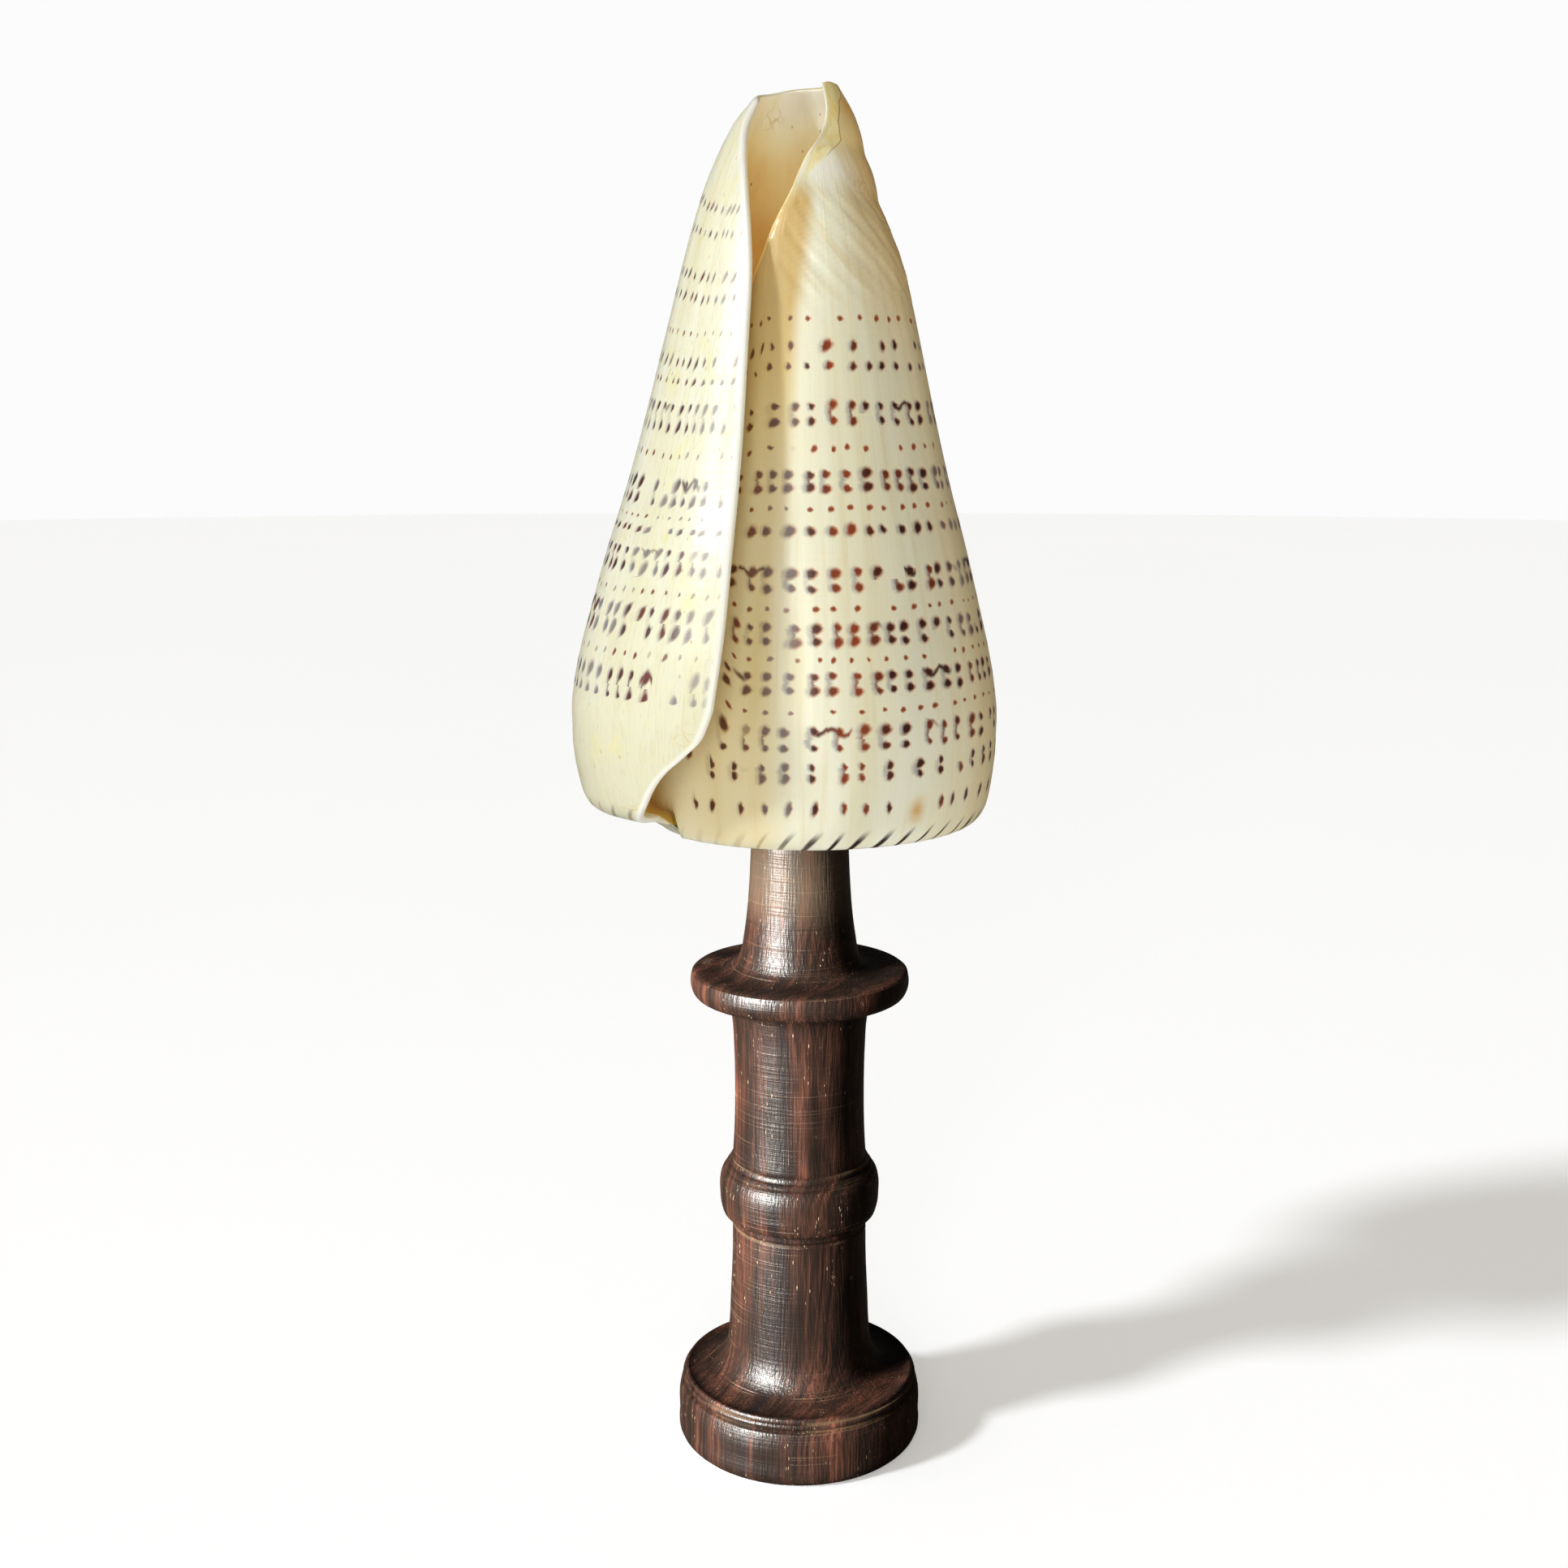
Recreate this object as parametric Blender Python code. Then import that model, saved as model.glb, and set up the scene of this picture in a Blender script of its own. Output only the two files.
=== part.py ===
"""A cone shell standing spire down on a turned dark wood stand, in metres with +Z up.

The origin is the middle of the stand's underside, and the side with the aperture faces -Y.
Angles round the shell are called turns, in degrees from +X, counterclockwise seen from above.
They go on past a full circle: the lip is near turn 250, and the surface just below it, one
whorl earlier, is near turn -110.
"""

import math

import bpy
import numpy as np

MM = 0.001
GAP = 0.3

# Stand: outline of the turned wood as (radius, height) in millimetres, from the foot up
FOOT_SEGMENTS = 36
STAND_OUTLINE = (
    (22.4, 0.0),
    (23.1, 0.8),
    (23.3, 4.5),
    (23.0, 10.0),
    (22.3, 10.7),
    (22.6, 11.3),
    (22.4, 12.3),
    (21.9, 12.9),
    (21.2, 12.9),
    (18.4, 13.1),
    (16.1, 14.0),
    (14.6, 15.9),
    (13.8, 18.5),
    (13.5, 21.6),
    (13.2, 28.1),
    (12.8, 37.0),
    (12.7, 42.4),
    (13.0, 43.3),
    (14.2, 44.5),
    (14.9, 46.6),
    (15.2, 49.0),
    (15.1, 51.6),
    (14.2, 53.9),
    (13.5, 55.1),
    (12.8, 56.6),
    (12.5, 58.8),
    (12.3, 63.0),
    (12.2, 70.5),
    (12.6, 78.0),
    (12.8, 85.6),
    (13.8, 87.2),
    (18.2, 87.8),
    (19.6, 88.4),
    (20.4, 89.9),
    (20.4, 91.8),
    (20.0, 92.8),
    (19.3, 93.0),
    (13.6, 93.2),
    (12.0, 94.1),
    (11.0, 96.2),
    (10.4, 99.4),
    (9.9, 103.0),
    (9.4, 109.0),
    (9.0, 117.6),
)
SEAT_RADIUS = 8.7

# Shell: where its spire's tip lies above the ground, and how much wider each whorl gets in a turn
SPIRE_TIP = 118.2
WHORL_GROWTH = 1.32

# Side of the body whorl at turn 180: (share of the height from shoulder to rim, radius)
SIDE = (
    (0.000, 34.0),
    (0.003, 36.9),
    (0.012, 38.6),
    (0.029, 39.8),
    (0.053, 40.5),
    (0.102, 41.3),
    (0.150, 41.4),
    (0.197, 40.7),
    (0.245, 39.4),
    (0.291, 37.8),
    (0.384, 34.4),
    (0.476, 30.7),
    (0.567, 27.5),
    (0.657, 24.6),
    (0.747, 21.7),
    (0.813, 19.5),
    (0.879, 16.9),
    (0.923, 14.6),
    (0.966, 11.8),
    (1.000, 8.3),
)

# Heights above the ground of the shoulder and of the rim at the top: (turn, height)
SHOULDER = ((-140.0, 121.7), (40.0, 121.7), (120.0, 122.8), (180.0, 124.3), (222.0, 125.8))
RIM = (
    (-110.0, 249.4),
    (-40.0, 249.9),
    (0.0, 250.2),
    (90.0, 250.4),
    (135.0, 249.3),
    (180.0, 248.0),
    (222.0, 244.0),
)

# Lip edge, columella edge and the inner end of the hollow: (share of the height, turn)
LIP = (
    (0.0, 224.0),
    (0.03, 229.5),
    (0.062, 233.5),
    (0.088, 237.5),
    (0.115, 242.8),
    (0.145, 247.5),
    (0.19, 249.8),
    (0.3, 250.8),
    (0.5, 250.0),
    (0.723, 247.2),
    (0.78, 245.8),
    (0.835, 242.2),
    (0.895, 234.8),
    (0.953, 219.8),
    (0.978, 205.5),
    (1.0, 190.0),
)
COLUMELLA = (
    (0.0, -136.0),
    (0.12, -117.0),
    (0.2, -110.5),
    (0.7, -108.0),
    (0.8, -102.0),
    (0.85, -93.5),
    (0.9, -81.5),
    (0.95, -60.0),
    (1.0, -49.0),
)
HOLLOW_END = ((0.0, -78.0), (0.12, -58.0), (0.7, -50.0), (0.85, -54.0), (0.9, -44.0), (1.0, -18.0))

# How much of the whorl inside is left at each height, from a whole whorl to the bare columella
INNER_WHORL = ((0.0, 1.0), (0.45, 1.0), (0.66, 0.5), (0.74, 0.17), (0.8, 0.04), (0.86, 0.0), (1.0, 0.0))
INNER_WHORL_ARC = 300.0

WALL = 2.4
LIP_WALL = 1.3
RIM_WALL = 1.2
FLOOR = 2.2
LIP_FLOOR_SHARE = 0.4

# Above a fold that slants down to the right, the whorl is drawn in: (turn, share of the height)
FOLD = ((-110.0, 0.83), (-60.0, 0.79), (0.0, 0.74), (60.0, 0.71))
FOLD_HEIGHT = 0.13
NECK_IN = 0.125

# Spire: rows of the grid in one whorl, how many rows there are, and the hollow of each whorl
SPIRE_ROWS_IN_WHORL = 4
SPIRE_ROWS = 14
SPIRE_CURVE = 1.4
RAMP_HOLLOW = 0.5

SHELL_COLUMNS = 40
SHELL_ROWS = 21


def smooth(knots, x):
    """Values at x of a smooth curve through the knots that never overshoots them."""
    at = np.array([k[0] for k in knots])
    value = np.array([k[1] for k in knots])
    step = np.diff(at)
    rise = np.diff(value) / step
    slope = np.empty(len(at))
    slope[0] = rise[0]
    slope[-1] = rise[-1]
    before, after = rise[:-1], rise[1:]
    same_way = before * after > 0
    total = np.where(same_way, before + after, 1.0)
    slope[1:-1] = np.where(same_way, 2 * before * after / total, 0.0)
    x = np.clip(x, at[0], at[-1])
    cell = np.clip(np.searchsorted(at, x, side="right") - 1, 0, len(step) - 1)
    t = (x - at[cell]) / step[cell]
    return (
        value[cell] * (1 + 2 * t) * (1 - t) ** 2
        + slope[cell] * step[cell] * t * (1 - t) ** 2
        + value[cell + 1] * t**2 * (3 - 2 * t)
        + slope[cell + 1] * step[cell] * t**2 * (t - 1)
    )


def growth(turn):
    return WHORL_GROWTH ** ((turn - 180.0) / 360.0)


def side_rows(count):
    """Shares of the height and radii of rows up the side, closer together at its two ends."""
    share = np.array([k[0] for k in SIDE])
    radius = np.array([k[1] for k in SIDE])
    height = smooth(RIM, 180.0) - smooth(SHOULDER, 180.0)
    along = np.concatenate(([0.0], np.cumsum(np.hypot(np.diff(share) * height, np.diff(radius)))))
    along /= along[-1]
    even = np.linspace(0.0, 1.0, count)
    at = even - 0.6 * np.sin(2 * math.pi * even) / (2 * math.pi)
    return smooth(list(zip(along, share)), at), smooth(list(zip(along, radius)), at)


def ease(x):
    """0 up to x = 0, 1 from x = 1, smooth between."""
    x = np.clip(x, 0.0, 1.0)
    return x * x * (3 - 2 * x)


def outer_radius(turn, share, radius):
    """Radius of the outside. Above a slanting fold it is drawn in, on the columella's side."""
    above_fold = ease((share - smooth(FOLD, turn)) / FOLD_HEIGHT)
    side = ease((130.0 - turn) / 130.0)
    return radius * growth(turn) * (1 - NECK_IN * above_fold * side)


def height_at(turn, share):
    low = smooth(SHOULDER, turn)
    return low + (smooth(RIM, turn) - low) * share


def place(turn, radius, height):
    angle = np.radians(turn)
    return np.stack((radius * np.cos(angle), radius * np.sin(angle), height), axis=-1)


def shell_ring(share, radius, columns):
    """Points of one row in order: outside from the lip back, whorl inside, inner face of the wall."""
    even = np.linspace(0.0, 1.0, columns + 1)
    lip = smooth(LIP, share)
    edge = smooth(COLUMELLA, share)
    end = smooth(HOLLOW_END, share)
    outside_turn = lip + (edge - lip) * even
    outside = place(outside_turn, outer_radius(outside_turn, share, radius), height_at(outside_turn, share))

    wall_turn = end + (lip - end) * even
    wall = LIP_WALL + (WALL - LIP_WALL) * np.clip((lip - wall_turn) / 50.0, 0.0, 1.0)
    wall = wall + (RIM_WALL - wall) * np.clip((share - 0.85) / 0.15, 0.0, 1.0)
    raised = FLOOR * (1 - share) ** 8
    floor_in = LIP_FLOOR_SHARE + (1 - LIP_FLOOR_SHARE) * ease((lip - wall_turn) / 50.0)
    wall_radius = outer_radius(wall_turn, share, radius) - wall
    inner_wall = place(wall_turn, wall_radius, height_at(wall_turn, share) + raised * floor_in)

    inside_turn = edge - INNER_WHORL_ARC * even[1:]
    start = ease((edge - inside_turn) / 50.0)
    whole = place(
        inside_turn,
        radius * growth(inside_turn),
        height_at(np.maximum(inside_turn + 360.0, edge), share) + raised * start,
    )
    bare = columella_end(outside[-1], outside[-2], inner_wall[0], even[1:])
    left = smooth(INNER_WHORL, share)
    inside = bare + (whole - bare) * left
    lip_round = (outside[0] + inner_wall[-1]) / 2
    ahead = outside[0] - outside[1]
    lip_round = lip_round + ahead / np.linalg.norm(ahead) * LIP_WALL / 3
    return np.concatenate((outside, inside, inner_wall, lip_round[None]))


def columella_end(first, before_first, last, even):
    """Half a round from the outside's last point to the inner wall's first, bulging ahead."""
    ahead = first - before_first
    ahead = ahead / np.linalg.norm(ahead)
    across = last - first
    half = across / 2
    angle = math.pi * even[:, None]
    bulge = np.linalg.norm(across) / 2
    return first + half - half * np.cos(angle) + ahead * bulge * np.sin(angle) * 0.8


def spire_grid(columns):
    """Rows of the spire's underside, each a quarter whorl further in than the one before."""
    turns = np.linspace(LIP[0][1], LIP[0][1] - 360.0, columns + 1)
    rim_radius = SIDE[0][1]
    last = rim_radius * growth(turns[-1])
    rows = []
    for row in range(SPIRE_ROWS + 1):
        inward = row / SPIRE_ROWS_IN_WHORL
        radius = rim_radius * growth(turns - 360.0 * inward)
        envelope = spire_height(radius)
        whorl = np.minimum(inward, 1.0)
        outer = height_at(turns, 0.0)
        height = np.where(inward < 1.0, outer + (envelope - outer) * whorl, envelope)
        hollow = RAMP_HOLLOW * math.sin(math.pi * (inward % 1.0)) * np.minimum(radius / last, 1.0)
        rows.append(place(turns, radius, height + hollow))
    return rows


def spire_height(radius):
    """Height of the spire's outline above the ground, which the seat of the stand follows."""
    last = SIDE[0][1] * growth(LIP[0][1] - 360.0)
    rise = SHOULDER[0][1] - SPIRE_TIP
    return SPIRE_TIP + rise * np.minimum(radius / last, 1.0) ** SPIRE_CURVE


def shell_mesh(columns, row_count):
    shares, radii = side_rows(row_count)
    rings = [shell_ring(share, radius, columns) for share, radius in zip(shares, radii)]
    per_ring = len(rings[0])
    points = list(np.concatenate(rings))
    faces = []

    def ring(row, column):
        return row * per_ring + column % per_ring

    for row in range(row_count - 1):
        for column in range(per_ring):
            low = (ring(row, column), ring(row, column + 1))
            faces.append((*low, ring(row + 1, column + 1), ring(row + 1, column)))

    edge = columns
    inner = 2 * columns + 1
    lip_inner = 3 * columns + 1
    lip_round = lip_inner + 1
    top = row_count - 1
    for step in range(columns):
        outer = (ring(top, step), ring(top, step + 1))
        faces.append((*outer, ring(top, lip_inner - step - 1), ring(top, lip_inner - step)))
    faces.append((ring(top, 0), ring(top, lip_inner), ring(top, lip_round)))
    faces.append(tuple(ring(top, column) for column in range(edge, inner + 1)))
    for step in range(columns):
        inside = (ring(0, edge + step + 1), ring(0, edge + step))
        faces.append((*inside, ring(0, lip_inner - step), ring(0, lip_inner - step - 1)))

    spire = spire_grid(columns)
    index = [[0] * (columns + 1) for _ in spire]
    for column in range(columns + 1):
        index[0][column] = ring(0, column)
    for row in range(1, len(spire)):
        for column in range(columns + 1):
            if column == 0 and row >= SPIRE_ROWS_IN_WHORL:
                index[row][0] = index[row - SPIRE_ROWS_IN_WHORL][columns]
                continue
            index[row][column] = len(points)
            points.append(spire[row][column])
    for row in range(len(spire) - 1):
        this, inward = index[row], index[row + 1]
        for column in range(columns):
            faces.append((this[column + 1], this[column], inward[column], inward[column + 1]))
    tip = len(points)
    points.append(np.array((0.0, 0.0, SPIRE_TIP)))
    last = len(spire) - 1
    hole = [index[last][column] for column in range(columns + 1)]
    hole += [index[row][columns] for row in range(last - 1, last - SPIRE_ROWS_IN_WHORL, -1)]
    for step, corner in enumerate(hole):
        faces.append((hole[(step + 1) % len(hole)], corner, tip))
    lip_floor = [index[row][0] for row in range(SPIRE_ROWS_IN_WHORL, -1, -1)]
    faces.append((ring(0, lip_inner), *lip_floor, ring(0, lip_round)))
    return points, [face[::-1] for face in faces]


def stand_mesh():
    outline = list(STAND_OUTLINE)
    for radius in (SEAT_RADIUS, SEAT_RADIUS * 0.66, SEAT_RADIUS * 0.33):
        outline.append((radius, float(spire_height(radius)) - GAP))
    points, faces = [], []
    for radius, height in outline:
        for segment in range(FOOT_SEGMENTS):
            angle = 2 * math.pi * segment / FOOT_SEGMENTS
            points.append((radius * math.cos(angle), radius * math.sin(angle), height))
    for row in range(len(outline) - 1):
        for segment in range(FOOT_SEGMENTS):
            after = (segment + 1) % FOOT_SEGMENTS
            low, high = row * FOOT_SEGMENTS, (row + 1) * FOOT_SEGMENTS
            faces.append((low + segment, low + after, high + after, high + segment))
    bottom = len(points)
    points.append((0.0, 0.0, 0.0))
    points.append((0.0, 0.0, SPIRE_TIP - GAP))
    high = (len(outline) - 1) * FOOT_SEGMENTS
    for segment in range(FOOT_SEGMENTS):
        after = (segment + 1) % FOOT_SEGMENTS
        faces.append((after, segment, bottom))
        faces.append((high + segment, high + after, bottom + 1))
    return points, faces


def material(name, colour, roughness):
    made = bpy.data.materials.new(name)
    made.use_nodes = True
    shader = made.node_tree.nodes["Principled BSDF"]
    shader.inputs["Base Color"].default_value = (*colour, 1.0)
    shader.inputs["Roughness"].default_value = roughness
    shader.inputs["Metallic"].default_value = 0.0
    return made


def add_piece(name, points, faces, finish, sharp_degrees):
    mesh = bpy.data.meshes.new(name)
    mesh.from_pydata([tuple(float(c) * MM for c in p) for p in points], [], faces)
    mesh.validate()
    mesh.shade_smooth()
    mesh.set_sharp_from_angle(angle=math.radians(sharp_degrees))
    mesh.materials.append(finish)
    piece = bpy.data.objects.new(name, mesh)
    bpy.context.scene.collection.objects.link(piece)
    return piece


def build():
    for old in list(bpy.data.objects):
        bpy.data.objects.remove(old, do_unlink=True)
    shell = material("shell_porcelain", (0.88, 0.83, 0.66), 0.3)
    wood = material("dark_turned_wood", (0.06, 0.025, 0.018), 0.35)
    add_piece("shell", *shell_mesh(SHELL_COLUMNS, SHELL_ROWS), shell, 40)
    add_piece("stand", *stand_mesh(), wood, 35)


build()
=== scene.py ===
"""A spotted cone shell standing spire down on its turned dark wood stand.

Angles round the shell are called turns, in degrees from +X, counterclockwise seen from above. They
go on past a full circle: the lip is near turn 250, and the surface just below it, one whorl
earlier, is near turn -110. Heights on the body whorl are shares, from 0 at the shoulder, which is
low, to 1 at the rim, which is at the top. Lengths are in millimetres up to the finished mesh.
"""

import math

import bpy
import numpy as np
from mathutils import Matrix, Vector


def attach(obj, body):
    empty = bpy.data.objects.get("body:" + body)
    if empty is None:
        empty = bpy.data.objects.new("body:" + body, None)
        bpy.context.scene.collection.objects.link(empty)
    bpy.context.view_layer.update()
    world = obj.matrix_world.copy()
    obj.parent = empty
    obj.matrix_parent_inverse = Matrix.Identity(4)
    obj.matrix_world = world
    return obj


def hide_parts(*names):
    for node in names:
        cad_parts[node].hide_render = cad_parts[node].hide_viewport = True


MM = 0.001
GAP = 0.3

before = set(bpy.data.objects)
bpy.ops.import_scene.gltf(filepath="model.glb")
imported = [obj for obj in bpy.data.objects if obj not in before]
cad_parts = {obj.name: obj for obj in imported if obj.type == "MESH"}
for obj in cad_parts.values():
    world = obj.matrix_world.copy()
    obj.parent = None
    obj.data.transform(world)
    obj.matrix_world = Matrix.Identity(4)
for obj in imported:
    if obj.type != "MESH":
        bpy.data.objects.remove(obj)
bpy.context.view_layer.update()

# The photo's viewpoint: its focal length and its width in pixels, and where its camera stood, in mm
FOCAL_PIXELS = 2300.0
PHOTO_PIXELS = 1932.0
CAMERA_AT = (-2.93, -337.0, 192.1)
CAMERA_DOWN_DEGREES = 10.8

# The smooth surface stays this share inside the corners of the faceted one, and its rim this low
FACET_INSET = 0.994
RIM_ROUND = 0.35

SPIRE_TIP = 118.2
WHORL_GROWTH = 1.32
SIDE = (
    (0.000, 34.0),
    (0.003, 36.9),
    (0.012, 38.6),
    (0.029, 39.8),
    (0.053, 40.5),
    (0.102, 41.3),
    (0.150, 41.4),
    (0.197, 40.7),
    (0.245, 39.4),
    (0.291, 37.8),
    (0.384, 34.4),
    (0.476, 30.7),
    (0.567, 27.5),
    (0.657, 24.6),
    (0.747, 21.7),
    (0.813, 19.5),
    (0.879, 16.9),
    (0.923, 14.6),
    (0.966, 11.8),
    (1.000, 8.3),
)
SHOULDER = ((-140.0, 121.7), (40.0, 121.7), (120.0, 122.8), (180.0, 124.3), (222.0, 125.8))
RIM = (
    (-110.0, 249.4),
    (-40.0, 249.9),
    (0.0, 250.2),
    (90.0, 250.4),
    (135.0, 249.3),
    (180.0, 248.0),
    (222.0, 244.0),
)
LIP = (
    (0.0, 224.0),
    (0.03, 229.5),
    (0.062, 233.5),
    (0.088, 237.5),
    (0.115, 242.8),
    (0.145, 247.5),
    (0.19, 249.8),
    (0.3, 250.8),
    (0.5, 250.0),
    (0.723, 247.2),
    (0.78, 245.8),
    (0.835, 242.2),
    (0.895, 234.8),
    (0.953, 219.8),
    (0.978, 205.5),
    (1.0, 190.0),
)
COLUMELLA = (
    (0.0, -136.0),
    (0.12, -117.0),
    (0.2, -110.5),
    (0.7, -108.0),
    (0.8, -102.0),
    (0.85, -93.5),
    (0.9, -81.5),
    (0.95, -60.0),
    (1.0, -49.0),
)
HOLLOW_END = ((0.0, -78.0), (0.12, -58.0), (0.7, -50.0), (0.85, -54.0), (0.9, -44.0), (1.0, -18.0))
INNER_WHORL = ((0.0, 1.0), (0.45, 1.0), (0.66, 0.5), (0.74, 0.17), (0.8, 0.04), (0.86, 0.0), (1.0, 0.0))
INNER_WHORL_ARC = 300.0
WALL = 2.4
LIP_WALL = 1.3
RIM_WALL = 1.2
FLOOR = 2.2
LIP_FLOOR_SHARE = 0.4
FOLD = ((-110.0, 0.83), (-60.0, 0.79), (0.0, 0.74), (60.0, 0.71))
FOLD_HEIGHT = 0.13
NECK_IN = 0.125
SPIRE_CURVE = 1.4
RAMP_HOLLOW = 0.5

# Columns of the outside and of the inside, rows up the side, and rows of each whorl of the spire
OUTSIDE_COLUMNS = 240
INSIDE_COLUMNS = 80
SIDE_ROWS = 190
PARIETAL_COLUMNS = 12
WHORL_ROWS = 12
SPIRE_ROWS = 42

# Rows of spots from the shoulder up: (share on the right, share by the lip, half height in mm,
# half length in mm, 1 where the row above is its twin and -1 where the one below is, spacing in
# degrees on the right)
SPOT_ROWS = (
    (0.020, 0.015, 0.0, 0.0, 0, 7.8),
    (0.062, 0.050, 1.2, 0.55, 0, 7.8),
    (0.104, 0.095, 1.0, 0.7, 1, 7.8),
    (0.118, 0.108, 0.9, 0.65, -1, 7.8),
    (0.145, 0.140, 0.8, 0.8, 1, 6.8),
    (0.166, 0.163, 0.95, 0.85, -1, 6.8),
    (0.191, 0.176, 0.45, 0.6, 0, 6.4),
    (0.2175, 0.190, 0.85, 0.9, 1, 6.3),
    (0.236, 0.220, 0.85, 0.95, -1, 6.3),
    (0.2575, 0.250, 0.5, 0.55, 0, 6.3),
    (0.280, 0.281, 0.9, 0.95, 1, 6.4),
    (0.2975, 0.309, 0.9, 0.9, -1, 6.4),
    (0.321, 0.335, 0.5, 0.55, 0, 6.6),
    (0.3475, 0.3675, 0.95, 0.95, 1, 7.0),
    (0.3675, 0.391, 0.95, 0.95, -1, 7.0),
    (0.421, 0.419, 1.0, 0.9, 0, 7.2),
    (0.449, 0.437, 0.5, 0.55, 0, 7.4),
    (0.475, 0.458, 0.85, 0.9, 1, 7.4),
    (0.4925, 0.484, 0.9, 0.9, -1, 7.4),
    (0.526, 0.523, 0.6, 0.55, 0, 7.9),
    (0.560, 0.561, 0.85, 0.75, 1, 8.3),
    (0.580, 0.591, 0.85, 0.75, -1, 8.3),
    (0.631, 0.625, 0.75, 0.6, 0, 9.2),
    (0.6575, 0.651, 0.95, 0.6, 0, 9.2),
    (0.6925, 0.6925, 0.55, 0.55, 0, 11.0),
    (0.74, 0.741, 0.95, 0.5, 0, 8.3),
    (0.77, 0.771, 0.95, 0.5, 0, 8.3),
    (0.83, 0.831, 0.9, 0.5, 0, 8.3),
    (0.866, 0.866, 0.9, 0.5, 0, 8.3),
    (0.92, 0.92, 0.0, 0.0, 0, 8.3),
    (1.0, 1.0, 0.0, 0.0, 0, 8.3),
)
SPOT_SPACING = ((-420.0, 6.3), (190.0, 6.3), (232.0, 4.3), (300.0, 4.3))

# The shell's length in mm, and two curves over the share of it: the callus's width in cm, and the end
# of the golden band beside the columella, which is partly the shell's own tan and partly painted shadow
# of the lip, in steps of 40 degrees from turn -120
SHELL_LENGTH = 128.3
CALLUS_WIDTH = (
    (0.87, 0.02), (0.88, 0.07), (0.905, 0.29), (0.925, 0.5),
    (0.936, 0.33), (0.948, 0.22), (0.976, 0.27), (0.99, 0.46),
)
TAN_AND_LIP_SHADOW_END = (
    (0.0, 0.5), (0.1, 0.55), (0.35, 0.57), (0.63, 0.663),
    (0.7, 0.69), (0.81, 0.87), (0.86, 0.93),
)

# Painted glow of the hollow, emitted light that stands in for light coming through the wall, and the
# floor's own light
PAINTED_INSIDE_GLOW = 0.062
FLOOR_GLOW = 0.33

# Heights and half width of the grooves turned into the stand, in metres
GROOVES = (0.0108, 0.0122, 0.0425, 0.0541, 0.0559)
GROOVE_WIDTH = 0.0004

# Colour of the surroundings to the left and to the right
LEFT_SKY = (0.37, 0.36, 0.33, 1.0)
RIGHT_SKY = (0.15, 0.11, 0.06, 1.0)


def smooth(knots, x):
    """Values at x of a smooth curve through the knots that never overshoots them."""
    at = np.array([k[0] for k in knots])
    value = np.array([k[1] for k in knots])
    step = np.diff(at)
    rise = np.diff(value) / step
    slope = np.empty(len(at))
    slope[0] = rise[0]
    slope[-1] = rise[-1]
    before, after = rise[:-1], rise[1:]
    same_way = before * after > 0
    total = np.where(same_way, before + after, 1.0)
    slope[1:-1] = np.where(same_way, 2 * before * after / total, 0.0)
    x = np.clip(x, at[0], at[-1])
    cell = np.clip(np.searchsorted(at, x, side="right") - 1, 0, len(step) - 1)
    t = (x - at[cell]) / step[cell]
    return (
        value[cell] * (1 + 2 * t) * (1 - t) ** 2
        + slope[cell] * step[cell] * t * (1 - t) ** 2
        + value[cell + 1] * t**2 * (3 - 2 * t)
        + slope[cell + 1] * step[cell] * t**2 * (t - 1)
    )


def ease(x):
    """0 up to x = 0, 1 from x = 1, smooth between."""
    x = np.clip(x, 0.0, 1.0)
    return x * x * (3 - 2 * x)


def growth(turn):
    return WHORL_GROWTH ** ((turn - 180.0) / 360.0)


def side_rows(count):
    """Shares of the height and radii of rows up the side, closer together at its two ends."""
    share = np.array([k[0] for k in SIDE])
    radius = np.array([k[1] for k in SIDE])
    height = smooth(RIM, 180.0) - smooth(SHOULDER, 180.0)
    along = np.concatenate(([0.0], np.cumsum(np.hypot(np.diff(share) * height, np.diff(radius)))))
    along /= along[-1]
    even = np.linspace(0.0, 1.0, count)
    at = even - 0.4 * np.sin(2 * math.pi * even) / (2 * math.pi)
    return smooth(list(zip(along, share)), at), smooth(list(zip(along, radius)), at)


def outer_radius(turn, share, radius):
    """Radius of the outside. Above a slanting fold it is drawn in, on the columella's side."""
    above_fold = ease((share - smooth(FOLD, turn)) / FOLD_HEIGHT)
    side = ease((130.0 - turn) / 130.0)
    return radius * growth(turn) * (1 - NECK_IN * above_fold * side)


def height_at(turn, share):
    low = smooth(SHOULDER, turn)
    return low + (smooth(RIM, turn) - RIM_ROUND - low) * share


def place(turn, radius, height):
    angle = np.radians(turn)
    radius = radius * FACET_INSET
    return np.stack((radius * np.cos(angle), radius * np.sin(angle), height), axis=-1)


def relief(turn, share):
    """How far growth lines, the fasciole's ridges and old repairs lower the surface, in mm."""
    lip_shape = smooth(LIP, np.clip(share, 0.0, 1.0)) - 250.0
    line = np.radians(turn - lip_shape)
    lines = 0.018 * np.sin(47.0 * line + 1.3 * np.sin(7.0 * line)) + 0.02 * np.sin(19.0 * line + 0.7)
    steps = 0.05 * ease((np.sin(5.0 * line + 2.0 * np.sin(2.0 * line)) - 0.55) / 0.45)
    right = ease((80.0 - turn) / 60.0)
    on_fold = ease((share - 0.68) / 0.08) * ease((0.875 - share) / 0.03) * right
    across = share + 0.0026 * (turn + 90.0)
    ridge = 0.5 + 0.5 * np.sin(250.0 * across + 1.8 * np.sin(0.06 * turn))
    some = 0.35 + 0.65 * np.sin(60.0 * across + 0.05 * turn) ** 2
    ridges = 0.3 * on_fold * ridge * some
    folded = share - 0.889 + 0.0002 * (turn + 65.0)
    above = 0.45 * np.exp(-(((folded - 0.034) / 0.016) ** 2))
    below = 0.3 * np.exp(-(((folded + 0.03) / 0.014) ** 2))
    return 0.05 + lines + steps + ridges + (above + below) * right * ease((turn + 100.0) / 30.0)


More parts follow.
